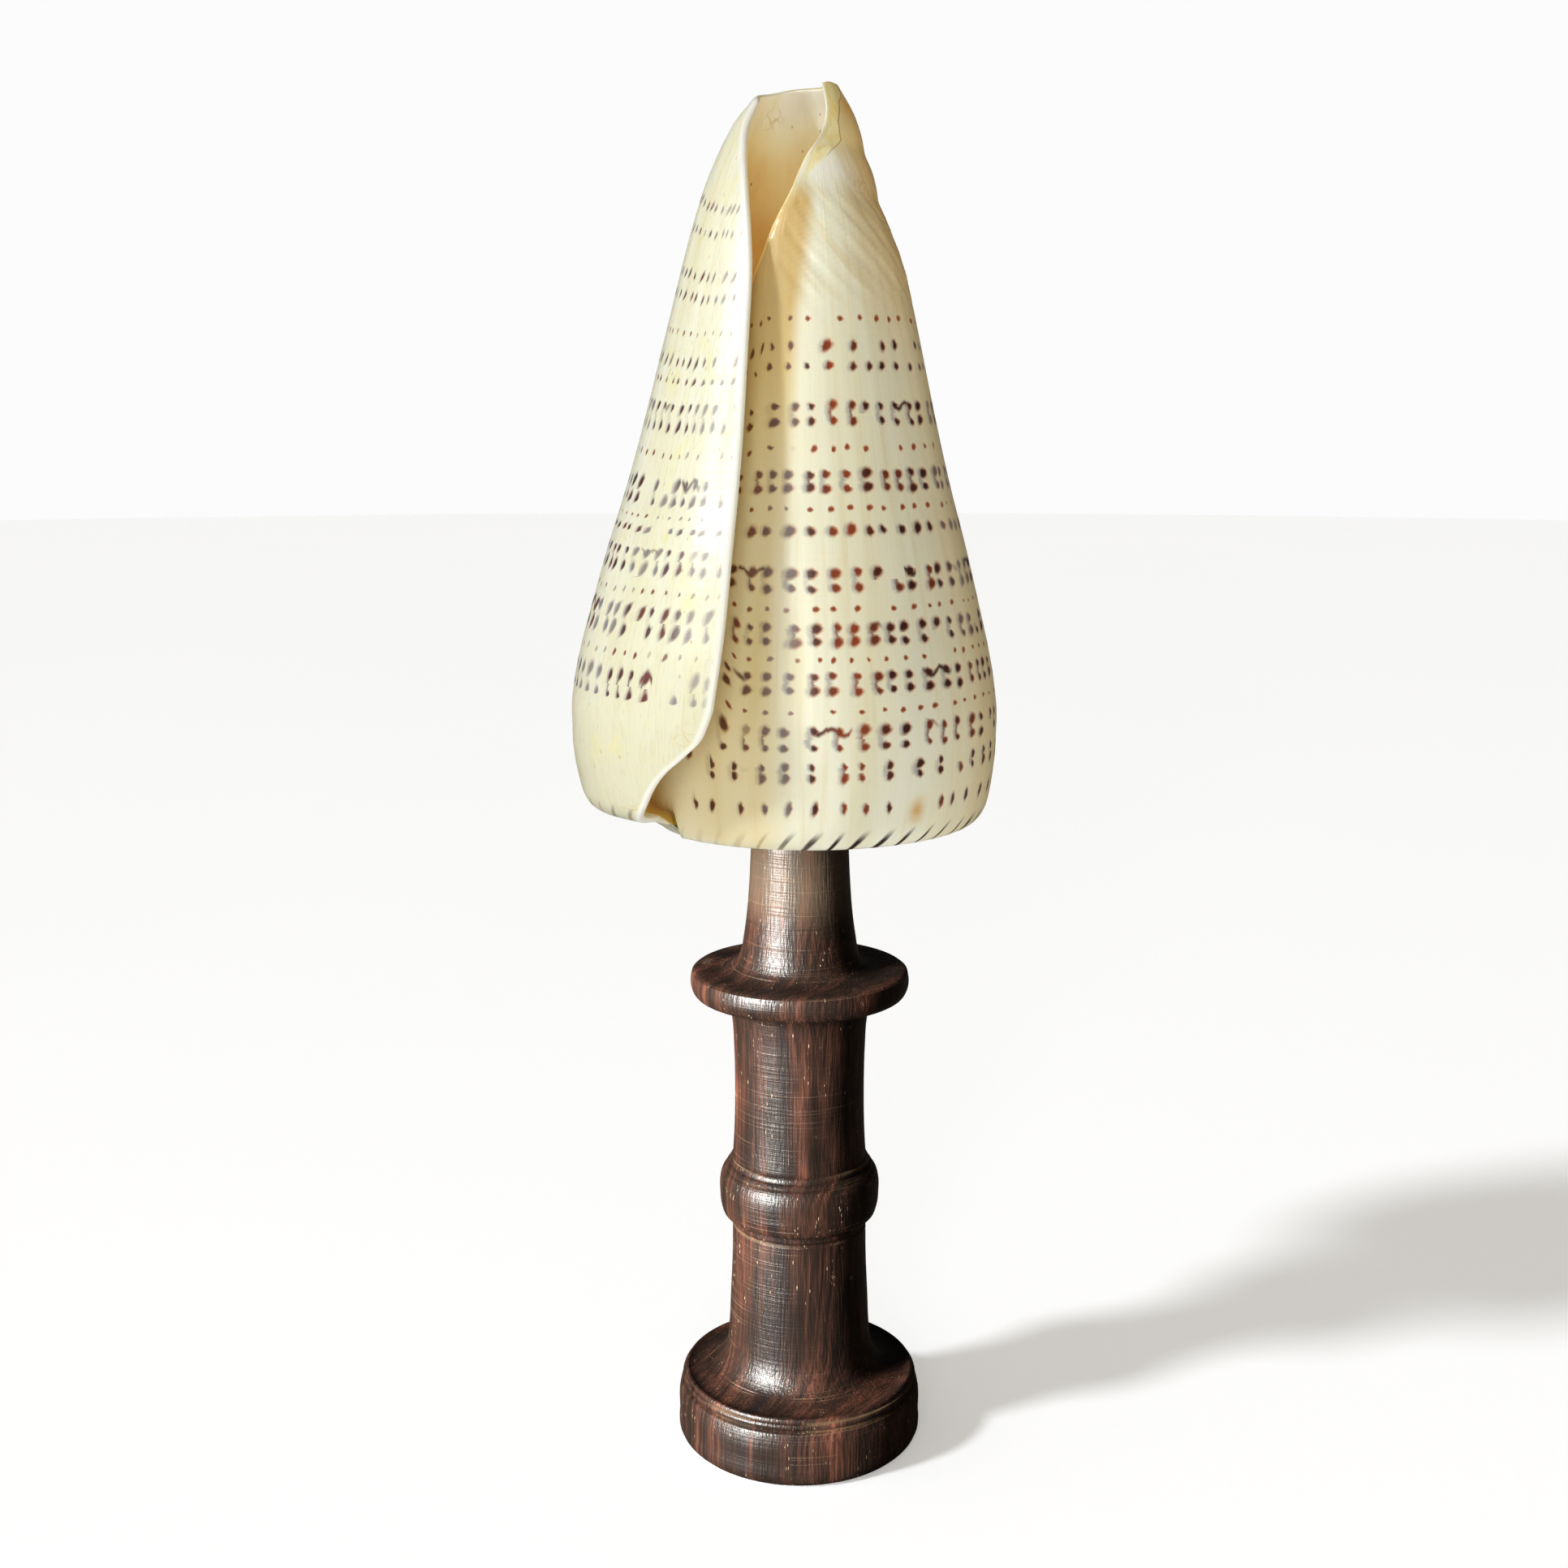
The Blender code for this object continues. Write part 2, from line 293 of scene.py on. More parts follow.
def columella_end(first, before_first, last, even):
    """Half a round from the outside's last point to the inner wall's first, bulging ahead."""
    ahead = first - before_first
    ahead = ahead / np.linalg.norm(ahead)
    across = last - first
    half = across / 2
    angle = math.pi * even[:, None]
    bulge = np.linalg.norm(across) / 2
    return first + half - half * np.cos(angle) + ahead * bulge * np.sin(angle) * 0.8


def shell_ring(share, radius):
    """One row's points in order, outside from the lip back, then inside to the lip, and their turns."""
    outer_even = np.linspace(0.0, 1.0, OUTSIDE_COLUMNS + 1)
    inner_even = np.linspace(0.0, 1.0, INSIDE_COLUMNS + 1)
    lip = smooth(LIP, share)
    edge = smooth(COLUMELLA, share)
    end = smooth(HOLLOW_END, share)
    turn = lip + (edge - lip) * outer_even
    smooth_radius = outer_radius(turn, share, radius)
    near_edge = np.minimum(1.0, np.minimum((lip - turn) / 3.0, (turn - edge) / 3.0))
    cut = relief(turn, share) * near_edge * ease(share / 0.02) * ease((1 - share) / 0.01)
    outside = place(turn, smooth_radius - cut, height_at(turn, share))

    wall_turn = end + (lip - end) * inner_even
    wall = LIP_WALL + (WALL - LIP_WALL) * np.clip((lip - wall_turn) / 50.0, 0.0, 1.0)
    wall = wall + (RIM_WALL - wall) * np.clip((share - 0.85) / 0.15, 0.0, 1.0)
    raised = FLOOR * (1 - share) ** 8
    floor_in = LIP_FLOOR_SHARE + (1 - LIP_FLOOR_SHARE) * ease((lip - wall_turn) / 50.0)
    wall_radius = outer_radius(wall_turn, share, radius) - wall
    inner_wall = place(wall_turn, wall_radius, height_at(wall_turn, share) + raised * floor_in)

    inside_turn = edge - INNER_WHORL_ARC * inner_even[1:]
    start = ease((edge - inside_turn) / 50.0)
    whole = place(
        inside_turn,
        radius * growth(inside_turn),
        height_at(np.maximum(inside_turn + 360.0, edge), share) + raised * start,
    )
    bare = columella_end(outside[-1], outside[-6], inner_wall[0], inner_even[1:])
    inside = bare + (whole - bare) * smooth(INNER_WHORL, share)

    angle = math.pi * np.array((0.25, 0.5, 0.75))[:, None]
    half = (outside[0] - inner_wall[-1]) / 2
    ahead = outside[0] - outside[6]
    ahead = ahead / np.linalg.norm(ahead) * LIP_WALL / 3
    lip_round = (outside[0] + inner_wall[-1]) / 2 - half * np.cos(angle) + ahead * np.sin(angle)
    turns = np.concatenate((turn, inside_turn, wall_turn, np.full(3, lip)))
    return np.concatenate((outside, inside, inner_wall, lip_round)), turns


def spire_height(radius):
    """Height of the spire's outline above the ground, which the seat of the stand follows."""
    last = SIDE[0][1] * growth(LIP[0][1] - 360.0)
    rise = SHOULDER[0][1] - SPIRE_TIP
    return SPIRE_TIP + rise * np.minimum(radius / last, 1.0) ** SPIRE_CURVE


def spire_grid():
    """Rows of the spire's underside from the shoulder in, their turns, and their radii."""
    turns = np.linspace(LIP[0][1], LIP[0][1] - 360.0, OUTSIDE_COLUMNS + 1)
    rim_radius = SIDE[0][1]
    last = rim_radius * growth(turns[-1])
    rows, radii = [], []
    for row in range(SPIRE_ROWS + 1):
        inward = row / WHORL_ROWS
        radius = rim_radius * growth(turns - 360.0 * inward)
        envelope = spire_height(radius)
        outer = height_at(turns, 0.0)
        height = np.where(inward < 1.0, outer + (envelope - outer) * min(inward, 1.0), envelope)
        hollow = RAMP_HOLLOW * math.sin(math.pi * (inward % 1.0)) * np.minimum(radius / last, 1.0)
        rows.append(place(turns, radius, height + hollow))
        radii.append(radius)
    return rows, turns, radii


def spot_row(turn, share):
    """Which row of spots a place is in, as a number that runs on smoothly between rows."""
    by_lip = ease((turn - 10.0) / 160.0)
    number = np.arange(len(SPOT_ROWS))
    right = np.interp(share, [r[0] for r in SPOT_ROWS], number)
    lip = np.interp(share, [r[1] for r in SPOT_ROWS], number)
    return right + (lip - right) * by_lip


def spot_column(turn, row):
    """Which spot of a row a place is in, counted from the front: each row has its own spacing."""
    fine = np.linspace(-420.0, 300.0, 721)
    away = ease((fine - 10.0) / 160.0)
    own = np.cumsum(1.0 - away)
    shared = np.cumsum(away / np.interp(fine, *zip(*SPOT_SPACING)))
    front = np.searchsorted(fine, -90.0)
    nearest = np.floor(row)
    nearest = nearest + ease((row - nearest - 0.5) / 0.3 + 0.5)
    per_degree = np.interp(nearest, np.arange(len(SPOT_ROWS)), [1.0 / r[5] for r in SPOT_ROWS])
    return np.interp(turn, fine, own - own[front]) * per_degree + np.interp(turn, fine, shared)


class MeshBuilder:
    """Collects points with the values that the materials read, and faces with their material."""

    def __init__(self):
        self.points = []
        self.surface = []
        self.spots = []
        self.edges = []
        self.faces = []
        self.slots = []
        self.corner_turn = {}

    def add(self, points, turn, along, row, lip_distance, columella_distance):
        first = len(self.points)
        each = np.zeros(len(points))
        turn, along, row, lip_distance, columella_distance = np.broadcast_arrays(
            each + turn, along, row, lip_distance, columella_distance
        )
        self.points.extend(points)
        self.surface.extend(zip(turn / 360.0, along / 100.0))
        self.spots.extend(zip(spot_column(turn, row), row))
        self.edges.extend(zip(lip_distance / 100.0, columella_distance / 100.0))
        return first

    def face(self, slot, *corners):
        self.faces.append(corners)
        self.slots.append(slot)

    def finish(self, name, materials, flip):
        mesh = bpy.data.meshes.new(name)
        points = np.array(self.points) * MM
        faces = [face[::-1] for face in self.faces] if flip else self.faces
        mesh.from_pydata(points.tolist(), [], faces)
        corner_vertex = np.empty(len(mesh.loops), dtype=np.int32)
        mesh.loops.foreach_get("vertex_index", corner_vertex)
        for label, values in (("surface", self.surface), ("spots", self.spots), ("edges", self.edges)):
            layer = mesh.uv_layers.new(name=label)
            layer.data.foreach_set("uv", np.array(values, dtype=np.float32)[corner_vertex].ravel())
        for finish in materials:
            mesh.materials.append(finish)
        mesh.polygons.foreach_set("material_index", np.array(self.slots, dtype=np.int32))
        mesh.validate()
        mesh.shade_smooth()
        piece = bpy.data.objects.new(name, mesh)
        bpy.context.scene.collection.objects.link(piece)
        return piece


def build_shell(outside_finish, inside_finish):
    build = MeshBuilder()
    shares, radii = side_rows(SIDE_ROWS)
    outer, inner = OUTSIDE_COLUMNS, INSIDE_COLUMNS
    for share, radius in zip(shares, radii):
        points, turns = shell_ring(share, radius)
        arc = math.pi / 180.0 * radius * growth(turns)
        lip, edge = smooth(LIP, share), smooth(COLUMELLA, share)
        height = smooth(RIM, 0.0) - smooth(SHOULDER, 0.0)
        lip_distance = np.clip((lip - turns) * arc, 0.0, 99.0)
        columella_distance = np.clip(np.abs(turns - edge) * arc, 0.0, 99.0)
        columella_distance[outer + 1 + inner :] = 99.0
        lip_distance[outer + 1 : outer + 1 + inner] = 99.0
        row = spot_row(turns, share)
        build.add(points, turns, share * height, row, lip_distance, columella_distance)
    per_ring = outer + 1 + inner + inner + 1 + 3

    def ring(row, column):
        return row * per_ring + column % per_ring

    cap_start = outer
    wall_start = outer + 1 + inner
    wall_end = wall_start + inner
    rows = len(shares)
    for row in range(rows - 1):
        for column in range(per_ring):
            slot = 0 if column < outer + PARIETAL_COLUMNS or column >= wall_end else 1
            low = (ring(row, column), ring(row, column + 1))
            build.face(slot, *low, ring(row + 1, column + 1), ring(row + 1, column))

    top = rows - 1
    ratio = outer // inner
    crest = []
    for step in range(outer + 1):
        a = build.points[ring(top, step)]
        near = wall_end - step / ratio
        low_index = int(math.floor(near))
        b = build.points[ring(top, low_index)]
        c = build.points[ring(top, min(low_index + 1, wall_end))]
        b = b + (c - b) * (near - low_index)
        crest.append((a + b) / 2 + np.array((0.0, 0.0, RIM_ROUND)))
    turn = smooth(LIP, 1.0) + (smooth(COLUMELLA, 1.0) - smooth(LIP, 1.0)) * np.linspace(0, 1, outer + 1)
    first = build.add(crest, turn, SHELL_LENGTH, len(SPOT_ROWS) - 1.0, 0.0, 60.0)
    for step in range(outer):
        build.face(0, ring(top, step), ring(top, step + 1), first + step + 1, first + step)
    for step in range(inner):
        corners = [first + step * ratio + k for k in range(ratio + 1)]
        build.face(0, *corners, ring(top, wall_end - step - 1), ring(top, wall_end - step))
    lip_corners = [ring(top, wall_end + k) for k in range(4)]
    build.face(0, ring(top, 0), first, *lip_corners)
    cap = [ring(top, column) for column in range(cap_start, wall_start + 1)]
    build.face(1, *cap, first + outer)

    for step in range(inner):
        inside = (ring(0, cap_start + step + 1), ring(0, cap_start + step))
        build.face(1, *inside, ring(0, wall_end - step), ring(0, wall_end - step - 1))

    spire, spire_turns, spire_radii = spire_grid()
    index = [[0] * (outer + 1) for _ in spire]
    for column in range(outer + 1):
        index[0][column] = ring(0, column)
    for row in range(1, len(spire)):
        depth = spire_radii[0] - spire_radii[row]
        skip = 1 if row >= WHORL_ROWS else 0
        first = build.add(
            spire[row][skip:], spire_turns[skip:], -depth[skip:], -depth[skip:] / 3.0, 50.0, 60.0
        )
        for column in range(outer + 1):
            if column < skip:
                index[row][0] = index[row - WHORL_ROWS][outer]
            else:
                index[row][column] = first + column - skip
    for row in range(len(spire) - 1):
        this, inward = index[row], index[row + 1]
        for column in range(outer):
            build.face(0, this[column + 1], this[column], inward[column], inward[column + 1])
    tip = build.add([np.array((0.0, 0.0, SPIRE_TIP))], LIP[0][1], -34.0, -11.0, 50.0, 60.0)
    last = len(spire) - 1
    hole = [index[last][column] for column in range(outer + 1)]
    hole += [index[row][outer] for row in range(last - 1, last - WHORL_ROWS, -1)]
    for step, corner in enumerate(hole):
        build.face(0, hole[(step + 1) % len(hole)], corner, tip)
    lip_floor = [index[row][0] for row in range(WHORL_ROWS, -1, -1)]
    build.face(0, ring(0, wall_end), *lip_floor, *(ring(0, wall_end + k) for k in (3, 2, 1)))
    return build.finish("cone_shell", (outside_finish, inside_finish), True)


# Stand: outline of the turned wood as (radius, height, 1 at a crisp edge), from the foot up
STAND_OUTLINE = (
    (22.3, 0.0, 1),
    (23.0, 0.7, 0),
    (23.25, 4.5, 0),
    (23.05, 9.4, 0),
    (22.75, 10.3, 0),
    (22.05, 10.75, 1),
    (22.35, 11.05, 1),
    (22.6, 11.5, 0),
    (22.45, 12.1, 1),
    (22.1, 12.25, 1),
    (22.1, 12.5, 1),
    (21.9, 12.9, 0),
    (21.5, 13.0, 1),
    (21.1, 12.85, 0),
    (18.4, 13.1, 0),
    (16.1, 14.0, 0),
    (14.6, 15.9, 0),
    (13.8, 18.5, 0),
    (13.5, 21.6, 0),
    (13.2, 28.1, 0),
    (12.8, 37.0, 0),
    (12.75, 42.2, 1),
    (12.45, 42.5, 1),
    (12.45, 42.9, 1),
    (12.9, 43.3, 0),
    (13.0, 44.0, 1),
    (12.7, 44.3, 1),
    (12.9, 44.6, 1),
    (14.2, 44.9, 0),
    (14.9, 46.6, 0),
    (15.15, 49.0, 0),
    (15.1, 51.6, 0),
    (14.7, 53.1, 0),
    (14.25, 53.8, 1),
    (13.95, 53.95, 1),
    (14.0, 54.25, 1),
    (13.6, 54.85, 1),
    (13.25, 55.0, 1),
    (13.3, 55.3, 1),
    (12.95, 56.0, 1),
    (12.6, 56.2, 1),
    (12.65, 56.6, 1),
    (12.5, 58.8, 0),
    (12.3, 63.0, 0),
    (12.2, 70.5, 0),
    (12.35, 78.0, 0),
    (12.7, 83.5, 0),
    (13.2, 86.0, 0),
    (14.4, 87.2, 0),
    (16.2, 87.6, 0),
    (18.2, 87.9, 0),
    (19.6, 88.4, 0),
    (20.35, 89.9, 0),
    (20.35, 91.6, 0),
    (20.15, 92.5, 1),
    (19.7, 92.85, 1),
    (19.0, 92.95, 0),
    (13.6, 93.2, 0),
    (12.0, 94.1, 0),
    (11.0, 96.2, 0),
    (10.4, 99.4, 0),
    (9.9, 103.0, 0),
    (9.4, 109.0, 0),
    (9.0, 117.4, 1),
)
SEAT_RADIUS = 8.7
STAND_SEGMENTS = 144


def run_through(run):
    """A smooth line through the points of one run of the outline, between two crisp edges."""
    if len(run) < 3:
        return run
    run = np.array(run)
    along = np.concatenate(([0.0], np.cumsum(np.hypot(*np.diff(run, axis=0).T))))
    fine = np.unique(np.concatenate([np.linspace(a, b, 5) for a, b in zip(along[:-1], along[1:])]))
    slope = np.gradient(run, along, axis=0)
    cell = np.clip(np.searchsorted(along, fine, side="right") - 1, 0, len(along) - 2)
    step = (along[1:] - along[:-1])[cell][:, None]
    t = ((fine - along[cell]) / step[:, 0])[:, None]
    line = (
        run[cell] * (1 + 2 * t) * (1 - t) ** 2
        + slope[cell] * step * t * (1 - t) ** 2
        + run[cell + 1] * t**2 * (3 - 2 * t)
        + slope[cell + 1] * step * t**2 * (t - 1)
    )
    return line.tolist()


def stand_profile():
    profile, run = [], []
    for radius, height, crisp in STAND_OUTLINE:
        run.append((radius, height))
        if crisp and len(run) > 1:
            profile += run_through(run)[:-1]
            run = run[-1:]
    profile += run
    for radius in np.linspace(SEAT_RADIUS, 0.4, 8):
        profile.append((radius, float(spire_height(radius)) - GAP))
    return profile


def build_stand(finish):
    profile = stand_profile()
    segments = STAND_SEGMENTS
    points, faces = [], []
    for radius, height in profile:
        for segment in range(segments):
            angle = 2 * math.pi * segment / segments
            points.append((radius * math.cos(angle) * MM, radius * math.sin(angle) * MM, height * MM))
    for row in range(len(profile) - 1):
        low, high = row * segments, (row + 1) * segments
        for segment in range(segments):
            after = (segment + 1) % segments
            faces.append((low + segment, low + after, high + after, high + segment))
    last = (len(profile) - 1) * segments
    faces.append(tuple(range(segments - 1, -1, -1)))
    faces.append(tuple(last + segment for segment in range(segments)))
    mesh = bpy.data.meshes.new("turned_stand")
    mesh.from_pydata(points, [], faces)
    mesh.validate()
    mesh.shade_smooth()
    mesh.set_sharp_from_angle(angle=math.radians(38))
    mesh.materials.append(finish)
    piece = bpy.data.objects.new("turned_stand", mesh)
    bpy.context.scene.collection.objects.link(piece)
    return piece


class Finish:
    """A material whose nodes are made by calls that read like sums."""

    def __init__(self, name):
        self.material = bpy.data.materials.new(name)
        self.material.use_nodes = True
        self.tree = self.material.node_tree
        self.shader = self.tree.nodes["Principled BSDF"]

    def put(self, value, socket):
        if isinstance(value, Value):
            self.tree.links.new(value.socket, socket)
        else:
            socket.default_value = value

    def math(self, operation, *values, clamp=False):
        node = self.tree.nodes.new("ShaderNodeMath")
        node.operation = operation
        node.use_clamp = clamp
        for socket, value in zip(node.inputs, values):
            self.put(value, socket)
        return Value(self, node.outputs[0])

    def step(self, value, low, high):
        """0 below low, 1 above high, smooth between."""
        node = self.tree.nodes.new("ShaderNodeMapRange")
        node.interpolation_type = "SMOOTHSTEP"
        self.put(value, node.inputs["Value"])
        self.put(low, node.inputs["From Min"])
        self.put(high, node.inputs["From Max"])
        return Value(self, node.outputs["Result"])

    def near(self, value, at, width):
        """1 at a value, falling smoothly to 0 at a width from it."""
        away = self.math("ABSOLUTE", value - at)
        return 1.0 - self.step(away, 0.0, width)

    def mix(self, share, first, second):
        node = self.tree.nodes.new("ShaderNodeMix")
        node.data_type = "RGBA"
        node.clamp_factor = True
        self.put(share, node.inputs[0])
        self.put(first, node.inputs[6])
        self.put(second, node.inputs[7])
        return Value(self, node.outputs[2])

    def vector(self, x, y, z=0.0):
        node = self.tree.nodes.new("ShaderNodeCombineXYZ")
        for socket, value in zip(node.inputs, (x, y, z)):
            self.put(value, socket)
        return Value(self, node.outputs[0])

    def split(self, vector):
        node = self.tree.nodes.new("ShaderNodeSeparateXYZ")
        self.put(vector, node.inputs[0])
        return [Value(self, output) for output in node.outputs]

    def map(self, name):
        node = self.tree.nodes.new("ShaderNodeUVMap")
        node.uv_map = name
        x, y, _ = self.split(Value(self, node.outputs[0]))
        return x, y

    def place(self):
        node = self.tree.nodes.new("ShaderNodeTexCoord")
        return Value(self, node.outputs["Object"])

    def noise(self, vector, scale, detail=2.0, roughness=0.5):
        node = self.tree.nodes.new("ShaderNodeTexNoise")
        self.put(vector, node.inputs["Vector"])
        node.inputs["Scale"].default_value = scale
        node.inputs["Detail"].default_value = detail
        node.inputs["Roughness"].default_value = roughness
        return Value(self, node.outputs[0])

    def random(self, x, y, z=0.0):
        node = self.tree.nodes.new("ShaderNodeTexWhiteNoise")
        node.noise_dimensions = "3D"
        self.put(self.vector(x, y, z), node.inputs["Vector"])
        return Value(self, node.outputs["Value"])

    def cells(self, vector, scale, feature="F1", randomness=1.0):
        node = self.tree.nodes.new("ShaderNodeTexVoronoi")
        node.feature = feature
        self.put(vector, node.inputs["Vector"])
        node.inputs["Scale"].default_value = scale
        node.inputs["Randomness"].default_value = randomness
        return Value(self, node.outputs["Distance"])

    def ramp(self, value, stops, interpolation="LINEAR"):
        node = self.tree.nodes.new("ShaderNodeValToRGB")
        node.color_ramp.interpolation = interpolation
        elements = node.color_ramp.elements
        while len(elements) < len(stops):
            elements.new(1.0)
        for element, (at, colour) in zip(elements, stops):
            element.position = at
            element.color = colour
        self.put(value, node.inputs[0])
        return Value(self, node.outputs[0])

    def curve(self, value, knots):
        """A number between 0 and 1 that follows straight lines through the knots."""
        stops = [(at, (level, level, level, 1.0)) for at, level in knots]
        return self.split(self.ramp(value, stops))[0]

    def bump(self, height, distance, strength=1.0, before=None):
        node = self.tree.nodes.new("ShaderNodeBump")
        node.inputs["Strength"].default_value = strength
        node.inputs["Distance"].default_value = distance
        self.put(height, node.inputs["Height"])
        if before is not None:
            self.put(before, node.inputs["Normal"])
        return Value(self, node.outputs[0])


class Value:
    """One output in a material, with the usual signs for sums and products."""

    def __init__(self, finish, socket):
        self.finish = finish
        self.socket = socket

    def __add__(self, other):
        return self.finish.math("ADD", self, other)

    __radd__ = __add__

    def __sub__(self, other):
        return self.finish.math("SUBTRACT", self, other)

    def __rsub__(self, other):
        return self.finish.math("SUBTRACT", other, self)

    def __mul__(self, other):
        return self.finish.math("MULTIPLY", self, other)

    __rmul__ = __mul__

    def __truediv__(self, other):
        return self.finish.math("DIVIDE", self, other)

    def floor(self):
        return self.finish.math("FLOOR", self)

    def fraction(self):
        return self.finish.math("FRACT", self)

    def size(self):
        return self.finish.math("ABSOLUTE", self)

    def larger(self, other):
        return self.finish.math("MAXIMUM", self, other)

    def wave(self):
        return self.finish.math("SINE", self)


def colour(red, green, blue):
    """A colour given in the 0 to 255 values of a picture."""

    def linear(value):
        value /= 255.0
        return value / 12.92 if value <= 0.04045 else ((value + 0.055) / 1.055) ** 2.4

    return (linear(red), linear(green), linear(blue), 1.0)


def spot_layer(f, column, row, by_lip):
    """Strengths of the spots' cores, of their orange fringes and of the grey haze beside them."""
    count = float(len(SPOT_ROWS))
    row_id = (row + 0.5).floor()
    up = row - row_id
    heights = [r[0] for r in SPOT_ROWS]
    sizes, spaces, kinds = [], [], []
    for number, (share, _, half_height, half_length, twin, spacing) in enumerate(SPOT_ROWS):
        below = (heights[number] - heights[max(number - 1, 0)]) * SHELL_LENGTH
        above = (heights[min(number + 1, len(heights) - 1)] - heights[number]) * SHELL_LENGTH
        column_length = math.radians(spacing) * smooth(SIDE, share) * 0.88
        seed = number if twin != -1 else number - 1
        at = number / count
        sizes.append((at, (half_height / 2, half_length / 2, seed / 32, 1.0)))
        spaces.append((at, (below / 16, above / 16, column_length / 16, 1.0)))
        kinds.append((at, (0.5 + 0.5 * twin, 1.0 if half_height > 0.7 else 0.0, 0.0, 1.0)))
    look_up = (row_id + 0.5) / count
    half_height, half_length, seed = f.split(f.ramp(look_up, sizes, "CONSTANT"))
    below, above, column_length = f.split(f.ramp(look_up, spaces, "CONSTANT"))
    twin, large, _ = f.split(f.ramp(look_up, kinds, "CONSTANT"))

    over = f.step(up, -0.001, 0.001)
    y = up * (below + (above - below) * over) * 16.0
    wander = f.noise(f.vector(column * 0.3, seed * 9.0, 3.0), 1.0, 0.0) - 0.5
    shifted = column + wander * 0.9
    column_id = shifted.floor()
    across = shifted - column_id - 0.5
    chance = f.random(column_id, seed * 91.0, 1.0)
    other = f.random(column_id, row_id, 7.0)
    third = f.random(column_id, row_id, 13.0)
    ragged = f.noise(f.vector(column * 5.0, y * 1.1, row_id), 1.0, 2.0) - 0.5

    scale = 1.5 + 0.9 * other
    x = (across - (chance - 0.5) * 0.36) * column_length * 16.0 + ragged * 0.7
    y = y - (third - 0.5) * 0.4 + ragged * 0.35
    x = x - y * (0.35 * by_lip + (other - 0.5) * 0.5)
    wide = x / (half_length * scale * (1.0 - 0.1 * by_lip))
    tall = y / (half_height * scale * (1.0 + 0.12 * by_lip))
    pointed = tall * (1.12 + 0.42 * wide)
    egg = f.math("SQRT", wide * wide + pointed * pointed)
    core = 1.0 - f.step(egg, 0.5, 1.16)
    fringe = (1.0 - f.step(egg, 0.85, 1.55)) * f.step(wide, -0.7, 0.2)
    haze_x = (wide + 0.55) / 1.35
    haze_y = tall / 1.2
    haze = 1.0 - f.step(f.math("SQRT", haze_x * haze_x + haze_y * haze_y), 0.35, 1.25)

    toward_twin = up * (twin - 0.5) * 4.0
    linked = f.step((twin - 0.5).size(), 0.2, 0.3) * f.step(toward_twin, -0.1, 0.15)
    bar = f.near(x, -0.85, 1.0) * linked * f.step(chance, 0.1, 0.3) * (1.0 - 0.6 * by_lip)
    thread = f.near(x, -0.45, 0.5) * linked * f.step(chance, 0.55, 0.7) * 0.75

    wavy = (column * 5.4 + seed * 60.0).wave() * 0.55
    run = f.noise(f.vector(column * 0.42, seed * 21.0, 9.0), 1.0, 0.0)
    upper_twin = 1.0 - f.step(twin, 0.1, 0.3)
    joined = f.near(y - wavy, 0.0, 0.75) * f.step(run, 0.62, 0.68) * upper_twin
    missing = f.step(f.random(column_id, row_id, 3.0), 0.93, 0.94)
    there = (1.0 - missing) * f.step(half_height, 0.02, 0.04)
    core = core.larger(joined).larger(thread) * there
    return core, fringe * there, haze.larger(bar) * there * large, chance, other, large


